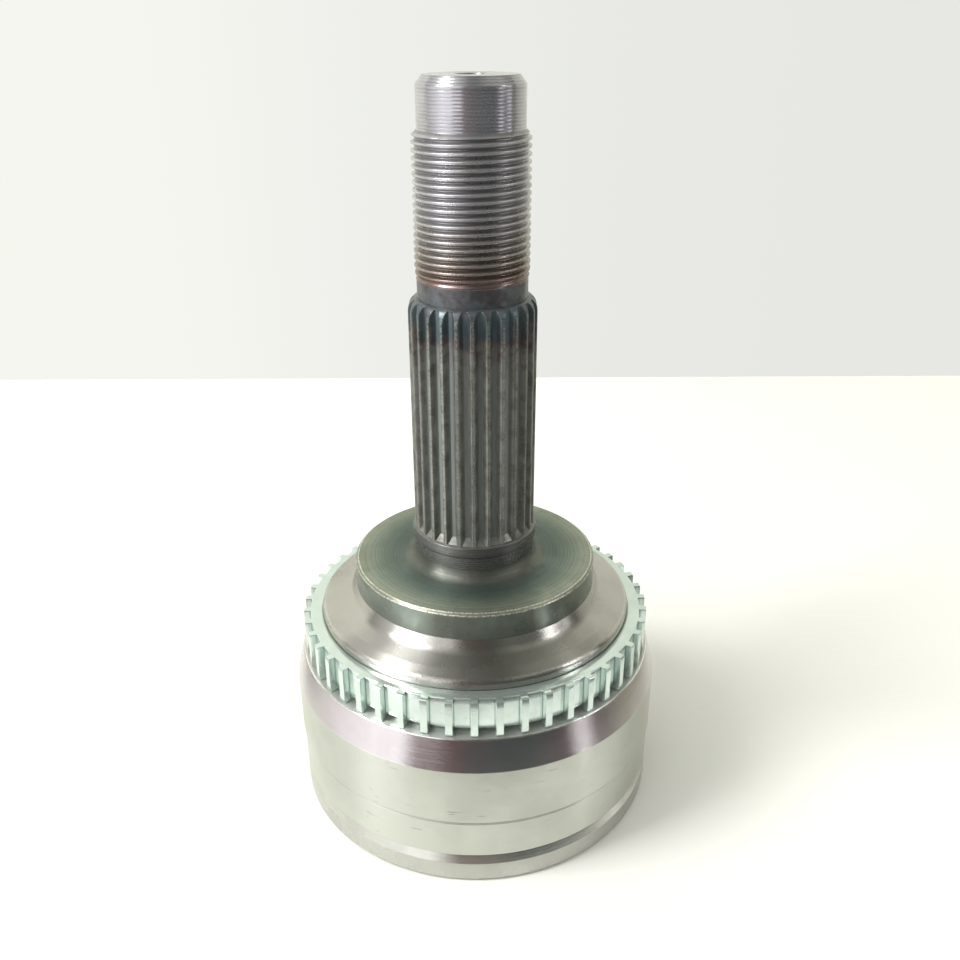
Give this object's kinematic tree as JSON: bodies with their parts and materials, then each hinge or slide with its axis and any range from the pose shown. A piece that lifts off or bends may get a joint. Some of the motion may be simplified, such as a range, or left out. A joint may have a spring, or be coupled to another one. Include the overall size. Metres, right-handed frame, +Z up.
{
  "type": "constant-velocity joint",
  "caption": "Fixed ball-type outer constant-velocity joint: round bell with caged balls and tilting inner race, toothed sensor ring, splined and threaded stub axle.",
  "frame": {"origin": "centre of the bell's mouth plane, on the joint's axis", "axes": "+Z up the stub axle, away from the mouth; +X through the first ball, which is the axis that the inner race tilts about"},
  "size_m": [0.087, 0.087, 0.1645],
  "materials": {
    "forged_steel": "turned and ground, satin",
    "zinc_plate": "pale zinc plate, satin",
    "cage_steel": "hardened, dark satin",
    "race_steel": "ground, satin",
    "ball_steel": "polished",
    "spring_steel": "dark drawn wire"
  },
  "bodies": {
    "outer": {"outer_race": "forged_steel", "tone_ring": "zinc_plate"},
    "inner": {"inner_race": "race_steel", "retaining_ring": "spring_steel"},
    "cage": {"cage": "cage_steel"},
    "ball_1": {"ball_1": "ball_steel"},
    "ball_2": {"ball_2": "ball_steel"},
    "ball_3": {"ball_3": "ball_steel"},
    "ball_4": {"ball_4": "ball_steel"},
    "ball_5": {"ball_5": "ball_steel"},
    "ball_6": {"ball_6": "ball_steel"}
  },
  "joints": [
    {"name": "inner_race_tilt", "type": "hinge", "parent": "outer", "child": "inner", "pos_m": [0, 0, 0.026], "axis": [1, 0, 0], "range_deg": [-45, 45]},
    {"name": "cage_tilt", "type": "hinge", "parent": "outer", "child": "cage", "pos_m": [0, 0, 0.026], "axis": [1, 0, 0], "range_deg": [-22.5, 22.5]},
    {"name": "ball_1_roll", "type": "hinge", "parent": "outer", "child": "ball_1", "pos_m": [0.028, 0, 0.026], "axis": [1, 0, 0], "range_deg": [-22.5, 22.5]},
    {"name": "ball_2_roll", "type": "hinge", "parent": "outer", "child": "ball_2", "pos_m": [0, 0, 0.0235], "axis": [0.866, -0.5, 0], "range_deg": [-19.73, 19.73]},
    {"name": "ball_3_roll", "type": "hinge", "parent": "outer", "child": "ball_3", "pos_m": [0, 0, 0.0235], "axis": [0.866, 0.5, 0], "range_deg": [-19.73, 19.73]},
    {"name": "ball_4_roll", "type": "hinge", "parent": "outer", "child": "ball_4", "pos_m": [-0.028, 0, 0.026], "axis": [1, 0, 0], "range_deg": [-22.5, 22.5]},
    {"name": "ball_5_roll", "type": "hinge", "parent": "outer", "child": "ball_5", "pos_m": [0, 0, 0.0235], "axis": [-0.866, 0.5, 0], "range_deg": [-19.73, 19.73]},
    {"name": "ball_6_roll", "type": "hinge", "parent": "outer", "child": "ball_6", "pos_m": [0, 0, 0.0235], "axis": [-0.866, -0.5, 0], "range_deg": [-19.73, 19.73]}
  ],
  "couplings": [
    {"joint": "cage_tilt", "follows": "inner_race_tilt", "ratio": 0.5},
    {"joint": "ball_1_roll", "follows": "inner_race_tilt", "ratio": 0.5},
    {"joint": "ball_2_roll", "follows": "inner_race_tilt", "ratio": 0.4385},
    {"joint": "ball_3_roll", "follows": "inner_race_tilt", "ratio": 0.4385},
    {"joint": "ball_4_roll", "follows": "inner_race_tilt", "ratio": 0.5},
    {"joint": "ball_5_roll", "follows": "inner_race_tilt", "ratio": -0.4385},
    {"joint": "ball_6_roll", "follows": "inner_race_tilt", "ratio": -0.4385}
  ]
}
